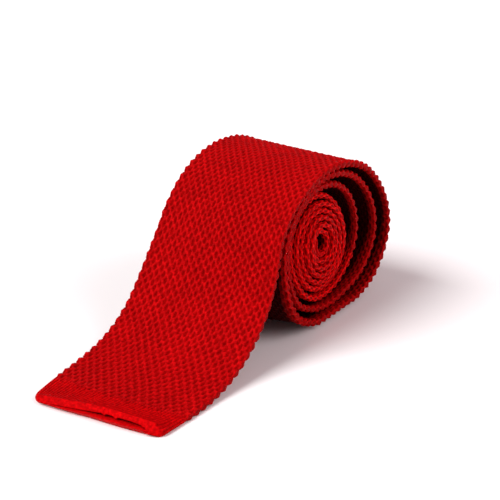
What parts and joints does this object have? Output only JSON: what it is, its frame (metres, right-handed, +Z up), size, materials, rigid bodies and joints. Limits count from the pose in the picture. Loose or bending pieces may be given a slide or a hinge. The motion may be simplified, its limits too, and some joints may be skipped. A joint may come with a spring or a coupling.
{
  "type": "knit tie, rolled up with its wide end laid out",
  "caption": "Square-ended knitted necktie rolled into a wheel, its wide ribbed end running out flat onto the table.",
  "frame": {"origin": "middle of the bounding box in X and Y, on the table's surface under the tie", "axes": "+X across the tie and along the roll's axis, +Y from the free wide end towards the roll, +Z up from the table"},
  "size_m": [0.06, 0.1688, 0.0665],
  "materials": {
    "blade_knit": "silky open knit with a soft sheen",
    "inner_knit": "silky open knit, in the roll's own shade",
    "ribbed_knit": "fine ribbed knit with a soft sheen"
  },
  "bodies": {
    "root": {"wide_end_hem": "ribbed_knit", "wide_blade": "blade_knit", "neck_band": "inner_knit", "tail_blade": "inner_knit", "tail_end_hem": "ribbed_knit"}
  },
  "joints": []
}
